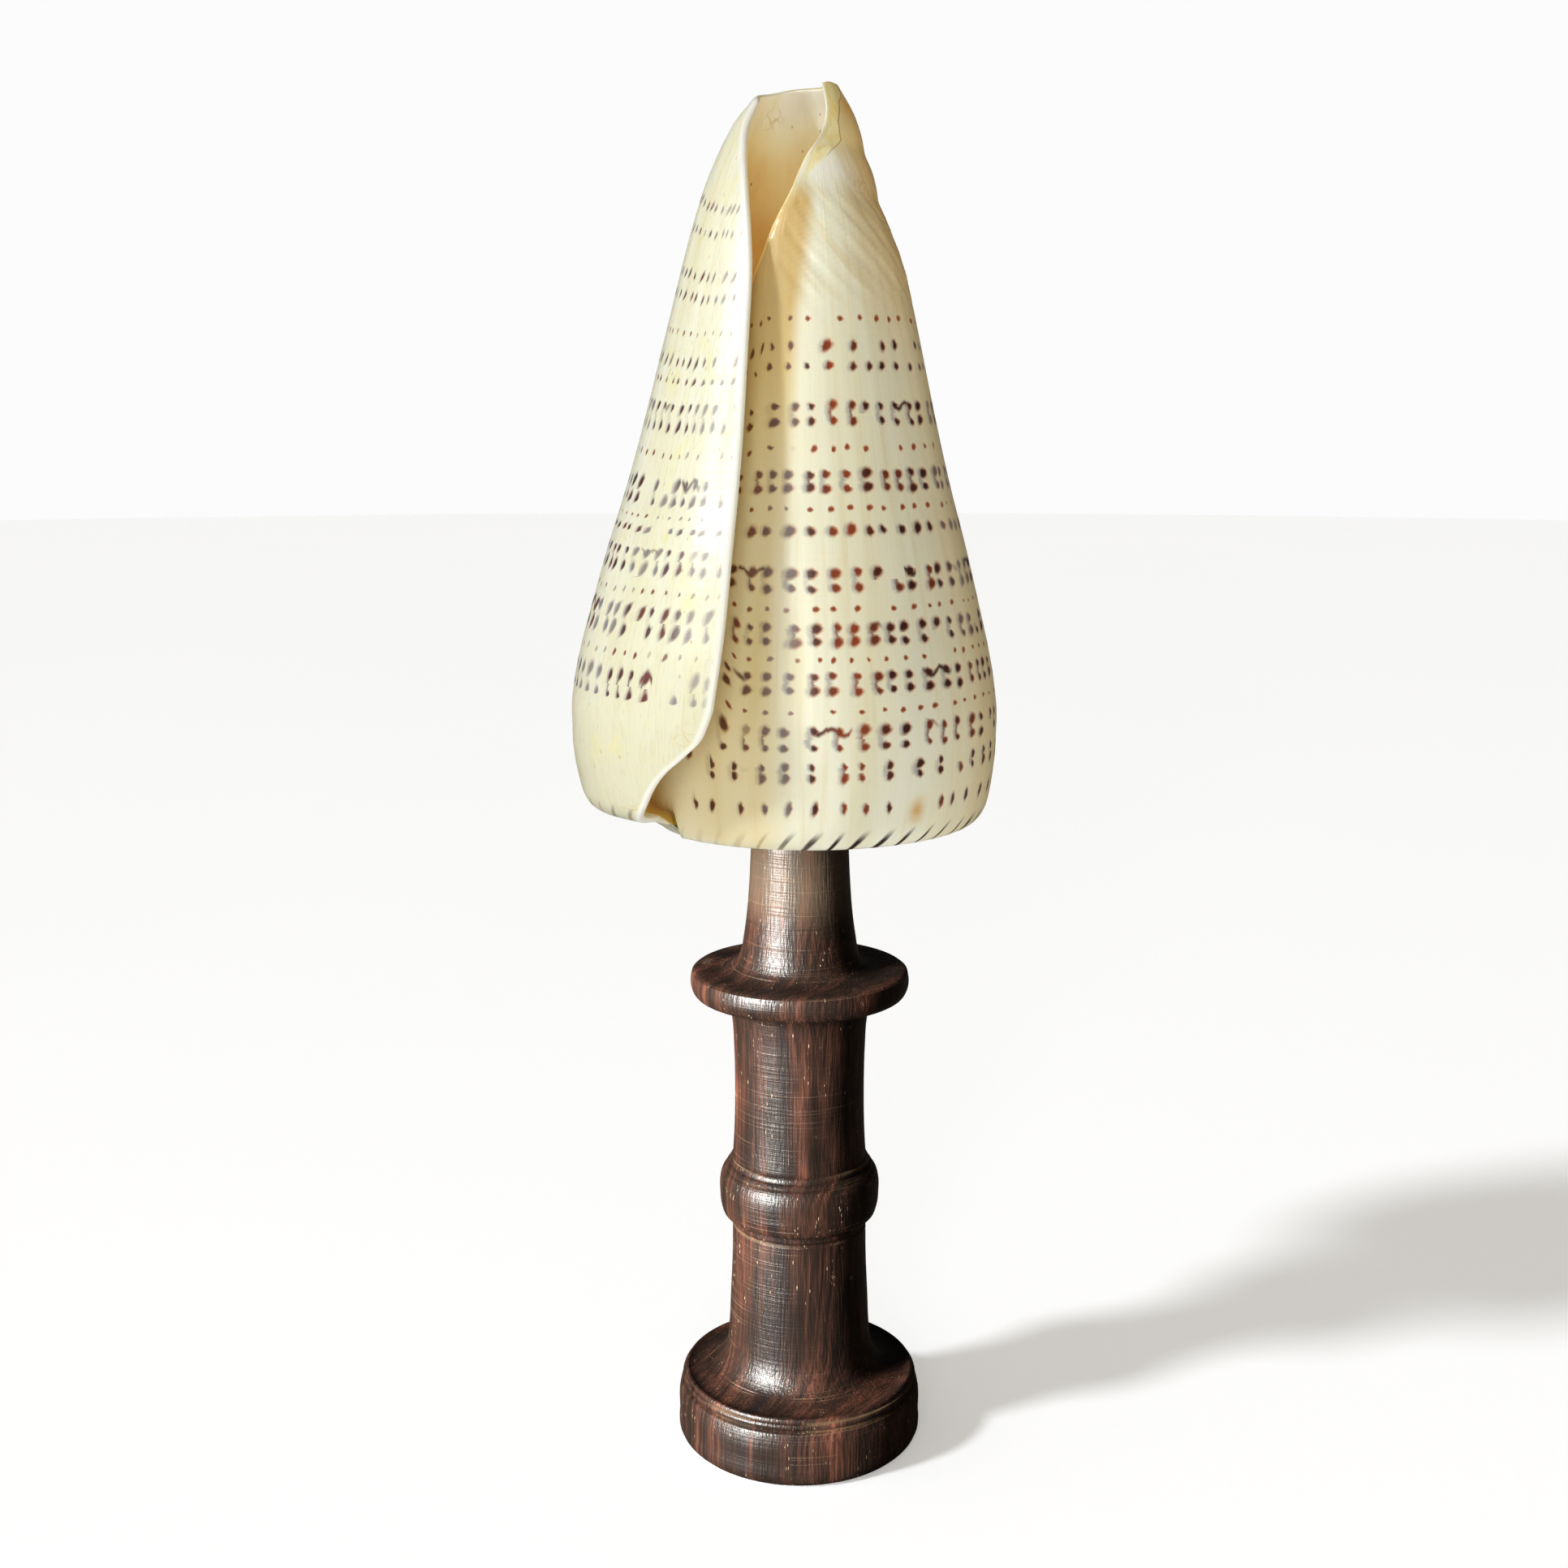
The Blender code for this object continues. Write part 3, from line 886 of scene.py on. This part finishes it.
def shell_outside():
    """Cream ground with rows of spots, golden neck and callus, painted shade on the right side, a
    painted highlight on the white fold, and a golden band by the columella that is partly tan and
    partly painted shadow of the lip.
    """
    f = Finish("shell_outside")
    turns, along = f.map("surface")
    column, row = f.map("spots")
    from_lip, from_columella = f.map("edges")
    up = along / (SHELL_LENGTH / 100.0)
    turn = turns * 360.0

    # Ground: streaked, warmer to the right (partly the shell's own tone, partly painted shade of the
    # side turned from the light), crazed and flecked by the lip
    by_lip = f.step(turn, 20.0, 165.0)
    right = 1.0 - by_lip
    streaks = f.noise(f.vector(turns * 70.0, along * 1.2, 0.0), 1.0, 4.0, 0.6)
    wide = f.noise(f.vector(turns * 16.0, along * 1.0, 5.0), 1.0, 3.0)
    mottle = f.noise(f.vector(turns * 9.0, along * 6.0, 2.0), 1.0, 4.0, 0.6)
    ground = f.mix(f.step(wide, 0.35, 0.7), colour(241, 242, 224), colour(230, 227, 199))
    ground = f.mix(f.step(streaks, 0.5, 0.76) * 0.5, ground, colour(222, 208, 158))
    ground = f.mix(f.step(mottle, 0.5, 0.8) * 0.3, ground, colour(226, 216, 176))
    low = 1.0 - f.step(up, 0.05, 0.35)
    ground = f.mix(by_lip * (0.25 + 0.5 * low), ground, colour(212, 208, 180))
    # Golden tone down the right side: partly the shell's own colour, partly painted shade of the side
    # turned away from the light
    warm_side_and_painted_shade = f.step(turn, -70.0, -8.0) * (1.0 - f.step(turn, 60.0, 120.0))
    ground = f.mix(warm_side_and_painted_shade * 0.5, ground, colour(236, 200, 112))
    hairline = f.noise(f.vector(turns * 260.0, along * 7.0, 11.0), 1.0, 2.0, 0.6)
    ground = f.mix(f.near(hairline, 0.5, 0.035) * by_lip * 0.3, ground, colour(204, 190, 136))
    yellowed = f.noise(f.vector(turns * 26.0, along * 9.0, 7.0), 1.0, 3.0, 0.65)
    ground = f.mix(f.step(yellowed, 0.56, 0.72) * by_lip * 0.45, ground, colour(232, 222, 150))
    flecks = f.cells(f.vector(turns * 150.0, along * 34.0, 0.0), 1.0)
    flecked = (1.0 - f.step(flecks, 0.08, 0.17)) * f.step(yellowed, 0.5, 0.58) * by_lip
    ground = f.mix(flecked * 0.5, ground, colour(176, 136, 80))
    worn = f.near(turn, -100.0, 16.0) * f.near(up, 0.25, 0.13)
    ground = f.mix(worn * f.step(streaks, 0.35, 0.6) * 0.6, ground, colour(214, 206, 140))

    # Neck: slanting fold lines, a golden tone above them, and the white fold, whitened further as a
    # painted highlight
    across = up + 0.0026 * (turn + 90.0)
    fold_lines = f.noise(f.vector(across * 40.0, turns * 14.0, 6.0), 1.0, 1.5, 0.5)
    on_fold = f.step(up, 0.66, 0.78) * (1.0 - f.step(up, 0.86, 0.9)) * right
    ground = f.mix(on_fold * f.step(fold_lines, 0.48, 0.66) * 0.36, ground, colour(204, 186, 122))
    golden_neck = f.step(up, 0.6, 0.84) * f.step(turn, -75.0, -20.0) * right
    ground = f.mix(golden_neck * 0.75, ground, colour(220, 190, 124))
    ground = f.mix(f.step(up, 0.86, 0.96) * right * 0.5, ground, colour(228, 204, 144))
    # The fold's white is partly its own colour and partly a painted highlight
    white_fold_and_highlight = f.near(up + 0.0002 * (turn + 65.0), 0.889, 0.042) * f.near(turn, -71.0, 38.0)
    ground = f.mix(white_fold_and_highlight * 0.85, ground, colour(250, 247, 234))

    craze = f.cells(f.vector(turns * 90.0, along * 60.0, 0.0), 1.0, "DISTANCE_TO_EDGE")
    crazed = (1.0 - f.step(craze, 0.01, 0.1)) * f.step(mottle, 0.54, 0.66)
    crazed = crazed * (1.0 - f.step(up, 0.12, 0.3))
    ground = f.mix(crazed * by_lip * 0.5, ground, colour(205, 184, 118))
    stain = f.near(up, 0.054, 0.028) * f.near(turn, -54.0, 4.6)
    ground = f.mix(stain * f.step(mottle, 0.3, 0.6), ground, colour(214, 170, 92))

    # Spots, paler in some places, and none on the neck, low down by the lip or under it
    core, fringe, haze, chance, other, large = spot_layer(f, column, row, by_lip)
    tone = f.noise(f.vector(column * 0.27, row * 0.04, 8.0), 1.0, 1.0)
    pale = f.near(turn, -98.0, 13.0).larger(f.step(tone, 0.55, 0.66) * f.step(turn, -50.0, -20.0))
    pale = pale.larger(f.step(tone, 0.54, 0.66) * by_lip * 0.8)
    unspotted = f.step(up, 0.692, 0.712) * right
    unspotted = unspotted.larger((1.0 - f.step(up, 0.178, 0.184)) * by_lip)
    under_lip = (1.0 - f.step(turn, -131.0, -125.0)) * (1.0 - f.step(up, 0.13, 0.19))
    present = 1.0 - unspotted.larger(under_lip)
    grey = f.mix(other, colour(138, 138, 148), colour(170, 162, 156))
    skin = f.mix(haze * present * (0.6 + 0.2 * pale), ground, grey)
    skin = f.mix(fringe * present * (0.65 - 0.4 * pale) * right, skin, colour(206, 128, 66))
    reddish = f.near(turn, -75.0, 14.0).larger(f.step(chance, 0.6, 0.9) * 0.5)
    dark = f.mix(reddish, colour(66, 26, 18), colour(150, 64, 24))
    dark = f.mix(large, colour(150, 72, 28), dark)
    dark = f.mix(by_lip * 0.5, dark, colour(96, 66, 66))
    by_edge = (1.0 - f.step(from_lip, 0.04, 0.11)) * by_lip
    dark = f.mix((pale * 0.6).larger(by_edge * 0.8), dark, colour(120, 118, 126))
    skin = f.mix(core * present * (1.0 - pale * 0.35) * (1.0 - by_edge * 0.5), skin, dark)

    # Dark slanting dashes round the shoulder
    slanted = turn * 0.132 - along * 17.0 + wide * 0.7
    slash = slanted.fraction() - 0.5
    slash_chance = f.random(slanted.floor(), 5.0, 2.0)
    slash_width = 0.07 + slash_chance * 0.11
    slashes = 1.0 - f.step(slash.size(), slash_width * 0.5, slash_width * 1.5)
    on_shoulder = (1.0 - f.step(along, 0.018, 0.044)) * f.step(along, -0.16, -0.02)
    dark_slash = f.step(turn, -120.0, -80.0) * 0.8 * (1.0 - by_lip * 0.6) + 0.2
    skin = f.mix(slashes * on_shoulder * dark_slash, skin, colour(46, 28, 28))

    # Callus with a crack along its edge, scribbles and a line round the neck
    width = f.curve(up, CALLUS_WIDTH)
    ripple = f.noise(f.vector(turns * 40.0, along * 40.0, 3.0), 1.0, 3.0) - 0.5
    inside_edge = from_columella * 10.0 - width + ripple * 0.09
    at_neck = f.step(up, 0.84, 0.87) * right
    callus = (1.0 - f.step(inside_edge, -0.07, 0.03)) * at_neck
    callus_tone = f.mix(f.step(ripple, -0.15, 0.2), colour(250, 236, 186), colour(242, 212, 136))
    skin = f.mix(callus * 0.75, skin, callus_tone)
    crack = f.near(inside_edge, 0.0, 0.024) * f.step(up, 0.9, 0.91) * right
    skin = f.mix(crack * 0.7, skin, colour(132, 96, 44))
    orange = f.near(up, 0.969, 0.022) * f.near(turn, -24.0, 17.0)
    skin = f.mix(orange * 0.6, skin, colour(232, 176, 92))
    scribble = f.noise(f.vector(turns * 46.0, along * 34.0, 4.0), 1.0, 2.0)
    scribbled = f.near(scribble, 0.5, 0.03) * f.near(up, 0.866, 0.018) * f.near(turn, -41.0, 19.0)
    skin = f.mix(scribbled * 0.75, skin, colour(140, 110, 52))
    level = up + 0.00052 * (turn + 39.0) + ripple * 0.01
    neck_line = f.near(level, 0.829, 0.0028) * f.near(turn, -9.0, 33.0)
    skin = f.mix(neck_line * 0.5, skin, colour(148, 116, 58))

    # Golden band beside the columella, partly the shell's own tan and partly painted shadow of the lip,
    # and the white edge of the lip
    # Painted shadow of the lip, in gold, partly also the shell's own tan; the spots inside it are
    # painted in a darker brown
    tan_and_lip_shadow_end = f.curve(up, TAN_AND_LIP_SHADOW_END)
    tan_and_lip_shadow = 1.0 - f.step((turn + 120.0) / 40.0 - tan_and_lip_shadow_end, -0.13, 0.13)
    tan_and_lip_shadow = tan_and_lip_shadow * right * (1.0 - f.step(up, 0.84, 0.885)) * f.step(up, -0.01, 0.02)
    lip_shadow_depth = 0.5 + 0.35 * f.step(up, 0.4, 0.66)
    gold = f.mix(f.step(up, 0.55, 0.75), colour(220, 196, 124), colour(202, 171, 98))
    skin = f.mix(tan_and_lip_shadow * lip_shadow_depth, skin, f.mix(core * present, gold, colour(104, 52, 26)))
    lip_white = 1.0 - f.step(from_lip, 0.003, 0.014)
    skin = f.mix(lip_white, skin, colour(244, 241, 224))

    f.put(skin, f.shader.inputs["Base Color"])
    f.put(0.26 + 0.18 * streaks + 0.1 * core - 0.1 * white_fold_and_highlight, f.shader.inputs["Roughness"])
    f.shader.inputs["Coat Weight"].default_value = 0.3
    f.shader.inputs["Coat Roughness"].default_value = 0.18
    glow_through(f)
    fine = f.noise(f.vector(turns * 240.0, along * 3.0, 0.0), 1.0, 3.0, 0.6)
    threads = f.noise(f.vector(turns * 4.0, along * 150.0, 0.0), 1.0, 2.0)
    height = fine * 0.6 + threads * 0.3 + mottle * 0.4 - crack * 0.8 + fold_lines * on_fold * 1.5
    f.put(f.bump(height, 0.00012, 0.7), f.shader.inputs["Normal"])
    return f.material


def glow_through(f):
    """The thin wall lets some light through, warmer the further it goes."""
    f.shader.inputs["Subsurface Weight"].default_value = 0.55
    f.shader.inputs["Subsurface Radius"].default_value = (1.0, 0.66, 0.32)
    f.shader.inputs["Subsurface Scale"].default_value = 0.006


def shell_inside():
    """Honey-coloured hollow, cream towards the rim, with a fine crack and a few specks."""
    f = Finish("shell_inside")
    turns, along = f.map("surface")
    from_lip, _ = f.map("edges")
    up = along / (SHELL_LENGTH / 100.0)
    mottle = f.noise(f.vector(turns * 12.0, along * 7.0, 2.0), 1.0, 4.0, 0.6)
    honey = f.mix(f.step(mottle, 0.4, 0.7), colour(240, 208, 128), colour(230, 196, 112))
    tan = f.mix(f.step(mottle, 0.35, 0.7), colour(244, 224, 176), colour(236, 208, 152))
    cream = f.mix(f.step(mottle, 0.35, 0.7), colour(250, 246, 230), colour(240, 232, 206))
    skin = f.mix(f.step(up, 0.74, 0.9), honey, tan)
    skin = f.mix(f.step(up, 0.88, 0.985), skin, cream)
    skin = f.mix(1.0 - f.step(from_lip, 0.02, 0.1), skin, colour(248, 243, 226))
    branch = f.noise(f.vector(turns * 30.0, along * 30.0, 4.0), 1.0, 2.0)
    branched = f.near(branch, 0.5, 0.04) * f.near(up, 0.972, 0.02) * f.near(turns * 360.0, 122.0, 20.0)
    skin = f.mix(branched * 0.45, skin, colour(150, 120, 60))
    specks = f.cells(f.vector(turns * 40.0, along * 26.0, 0.0), 1.0)
    skin = f.mix((1.0 - f.step(specks, 0.05, 0.09)) * 0.7, skin, colour(120, 70, 36))
    f.put(skin, f.shader.inputs["Base Color"])
    # Painted light: the hollow glows in its own colour, standing in for light that comes through the
    # wall
    f.put(skin, f.shader.inputs["Emission Color"])
    f.shader.inputs["Emission Strength"].default_value = PAINTED_INSIDE_GLOW
    f.put(0.22 + 0.2 * mottle, f.shader.inputs["Roughness"])
    f.shader.inputs["Coat Weight"].default_value = 0.3
    f.shader.inputs["Coat Roughness"].default_value = 0.12
    glow_through(f)
    lines = f.noise(f.vector(turns * 110.0, along * 2.0, 0.0), 1.0, 2.0)
    f.put(f.bump(lines * 0.5 + mottle, 0.00015, 0.5), f.shader.inputs["Normal"])
    return f.material


def turned_wood():
    """Near-black wood with brown figure, pale pores that are partly painted glints, scratches, and a
    painted grey reflection on the neck.
    """
    f = Finish("dark_turned_wood")
    x, y, z = f.split(f.place())
    figure = x * 803.0 - y * 595.0
    along_sheet = x * 595.0 + y * 803.0
    bend = f.noise(f.vector(x * 30.0, y * 30.0, z * 12.0), 1.0, 2.0) - 0.5
    sheet = figure + bend * 3.0
    bands = f.noise(f.vector(sheet * 0.3, z * 24.0, 0.0), 1.0, 3.0, 0.6)
    grain = f.noise(f.vector(sheet * 1.6, along_sheet * 0.3, z * 24.0), 1.0, 4.0, 0.7)
    fibre = f.noise(f.vector(x * 2600.0, y * 2600.0, z * 160.0), 1.0, 2.0)
    worn = f.noise(f.vector(x * 60.0, y * 60.0, z * 45.0), 1.0, 3.0)

    wood = f.ramp(
        bands * 0.36 + grain * 0.34 + worn * 0.3,
        (
            (0.36, colour(4, 3, 2)),
            (0.47, colour(13, 7, 5)),
            (0.55, colour(30, 16, 11)),
            (0.63, colour(50, 27, 19)),
            (0.73, colour(78, 47, 34)),
        ),
    )
    vein = f.near(sheet, 4.0, 2.0) * 0.9
    wood = f.mix(vein, wood, colour(7, 5, 5))
    wood = f.mix(f.step(fibre, 0.4, 0.65) * 0.65, wood, colour(8, 5, 4))
    # Pale flecks: partly the wood's own pale pores, partly painted glints where light catches them
    pores = f.cells(f.vector(x * 2300.0, y * 2300.0, z * 480.0), 1.0)
    pore_there = f.noise(f.vector(x * 420.0, y * 420.0, z * 200.0), 1.0, 2.0)
    pale_pores_and_glints = (1.0 - f.step(pores, 0.1, 0.24)) * f.step(pore_there, 0.56, 0.68)
    wood = f.mix(pale_pores_and_glints * 0.22, wood, colour(160, 140, 116))
    # Painted reflection: the neck is greyed where it mirrors the surroundings
    neck = f.step(z, 0.1005, 0.1095)
    wood = f.mix(neck * 0.5, wood, colour(42, 35, 27))
    neck_crack = f.near(z + worn * 0.003, 0.1045, 0.00022) * f.step(grain, 0.4, 0.55)
    wood = f.mix(neck_crack, wood, colour(8, 6, 5))

    turning = f.noise(f.vector(x * 14.0, y * 14.0, z * 2600.0), 1.0, 3.0, 0.7)
    scratch_there = f.step(f.noise(f.vector(x * 70.0, y * 70.0, z * 50.0), 1.0, 2.0), 0.46, 0.6)
    scratches = f.step(turning, 0.56, 0.7) * scratch_there
    wood = f.mix(scratches * 0.05, wood, colour(168, 132, 104))
    grooves = f.near(z, GROOVES[0], GROOVE_WIDTH)
    for groove in GROOVES[1:]:
        grooves = grooves.larger(f.near(z, groove, GROOVE_WIDTH))
    wood = f.mix(grooves * f.step(worn, 0.42, 0.62) * 0.1, wood, colour(104, 88, 64))
    f.put(wood, f.shader.inputs["Base Color"])

    f.put(0.2 + 0.2 * worn + 0.2 * scratches + 0.12 * fibre, f.shader.inputs["Roughness"])
    f.shader.inputs["Specular IOR Level"].default_value = 0.09
    height = fibre * 0.9 + scratches * 0.5 + turning * 0.5 - pale_pores_and_glints * 0.5 + worn * 0.8
    f.put(f.bump(height, 0.00013, 1.0), f.shader.inputs["Normal"])
    return f.material


def pale_floor():
    """White floor that glossy surfaces reflect as dark."""
    f = Finish("pale_floor")
    soft = f.noise(f.place(), 3.0, 2.0)
    ray = f.tree.nodes.new("ShaderNodeLightPath")
    reflected = Value(f, ray.outputs["Is Glossy Ray"])
    floor_white = f.mix(soft, colour(243, 247, 253), colour(247, 250, 255))
    f.put(f.mix(reflected, floor_white, colour(96, 92, 84)), f.shader.inputs["Base Color"])
    f.shader.inputs["Roughness"].default_value = 0.9
    f.shader.inputs["Specular IOR Level"].default_value = 0.1
    f.shader.inputs["Emission Color"].default_value = (1.0, 1.0, 1.0, 1.0)
    f.put(FLOOR_GLOW * (1.0 - reflected), f.shader.inputs["Emission Strength"])
    return f.material


def aim(lamp, azimuth, elevation, distance, target=(0.0, 0.0, 0.13)):
    """Sets a light round the object; azimuth 0 is in front, and positive is to the right."""
    a, e = math.radians(azimuth), math.radians(elevation)
    back = (math.sin(a) * math.cos(e), -math.cos(a) * math.cos(e), math.sin(e))
    lamp.location = [t + b * distance for t, b in zip(target, back)]
    lamp.rotation_mode = "QUATERNION"
    lamp.rotation_quaternion = Vector(back).to_track_quat("Z", "Y")
    bpy.context.scene.collection.objects.link(lamp)


def sun_light(name, azimuth, elevation, width_degrees, strength, tint):
    data = bpy.data.lights.new(name, "SUN")
    data.angle = math.radians(width_degrees)
    data.energy = strength
    data.color = tint
    aim(bpy.data.objects.new(name, data), azimuth, elevation, 1.5)


def area_light(name, azimuth, elevation, distance, width, height, power, tint):
    data = bpy.data.lights.new(name, "AREA")
    data.shape = "RECTANGLE"
    data.size = width
    data.size_y = height
    data.energy = power
    data.color = tint
    lamp = bpy.data.objects.new(name, data)
    aim(lamp, azimuth, elevation, distance)
    return lamp


def build_floor():
    """A wide round floor, level with the stand's underside."""
    count, radius = 64, 4.0
    points = [
        (radius * math.cos(2 * math.pi * k / count), radius * math.sin(2 * math.pi * k / count), 0.0)
        for k in range(count)
    ]
    mesh = bpy.data.meshes.new("floor")
    mesh.from_pydata(points, [], [tuple(range(count))])
    mesh.materials.append(pale_floor())
    floor = bpy.data.objects.new("floor", mesh)
    bpy.context.scene.collection.objects.link(floor)


def build_light_and_camera(stand):
    """Sun, a soft front light, a strip that lights only the stand, and the camera."""
    scene = bpy.context.scene
    world = bpy.data.worlds.new("studio")
    world.use_nodes = True
    nodes, links = world.node_tree.nodes, world.node_tree.links
    ray = nodes.new("ShaderNodeLightPath")
    direction = nodes.new("ShaderNodeTexCoord")
    split = nodes.new("ShaderNodeSeparateXYZ")
    links.new(direction.outputs["Generated"], split.inputs[0])
    across = nodes.new("ShaderNodeMapRange")
    across.inputs["From Min"].default_value = -1.0
    links.new(split.outputs[0], across.inputs["Value"])
    sides = nodes.new("ShaderNodeMix")
    sides.data_type = "RGBA"
    links.new(across.outputs["Result"], sides.inputs[0])
    sides.inputs[6].default_value = LEFT_SKY
    sides.inputs[7].default_value = RIGHT_SKY
    last = nodes["Background"]
    links.new(sides.outputs[2], last.inputs["Color"])
    for seen_by, strength in (("Is Glossy Ray", 0.03), ("Is Camera Ray", 0.97)):
        background = nodes.new("ShaderNodeBackground")
        background.inputs["Color"].default_value = (1.0, 1.0, 1.0, 1.0)
        background.inputs["Strength"].default_value = strength
        either = nodes.new("ShaderNodeMixShader")
        links.new(ray.outputs[seen_by], either.inputs[0])
        links.new(last.outputs[0], either.inputs[1])
        links.new(background.outputs[0], either.inputs[2])
        last = either
    links.new(last.outputs[0], nodes["World Output"].inputs["Surface"])
    scene.world = world
    scene.view_settings.view_transform = "Standard"
    white = (1.0, 1.0, 1.0)
    sun_light("key", azimuth=-65.0, elevation=36.0, width_degrees=7.0, strength=2.2, tint=white)
    area_light(
        "front", azimuth=-8.0, elevation=14.0, distance=1.2,
        width=0.4, height=0.4, power=3.2, tint=(1.0, 0.93, 0.81),
    )
    strip = area_light(
        "strip", azimuth=-50.0, elevation=5.0, distance=1.3,
        width=0.26, height=1.0, power=620.0, tint=(1.0, 1.0, 0.96),
    )
    receivers = bpy.data.collections.new("lit_by_strip")
    receivers.objects.link(stand)
    strip.light_linking.receiver_collection = receivers

    data = bpy.data.cameras.new("photo_view")
    data.sensor_width = 36.0
    data.lens = FOCAL_PIXELS / PHOTO_PIXELS * 36.0
    data.clip_start = 0.01
    data.clip_end = 50.0
    camera = bpy.data.objects.new("photo_view", data)
    camera.location = [c * MM for c in CAMERA_AT]
    camera.rotation_euler = (math.radians(90.0 - CAMERA_DOWN_DEGREES), 0.0, 0.0)
    scene.collection.objects.link(camera)
    scene.camera = camera


shell = build_shell(shell_outside(), shell_inside())
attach(shell, "root")
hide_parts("shell")

stand = build_stand(turned_wood())
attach(stand, "root")
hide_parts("stand")

build_floor()
build_light_and_camera(stand)
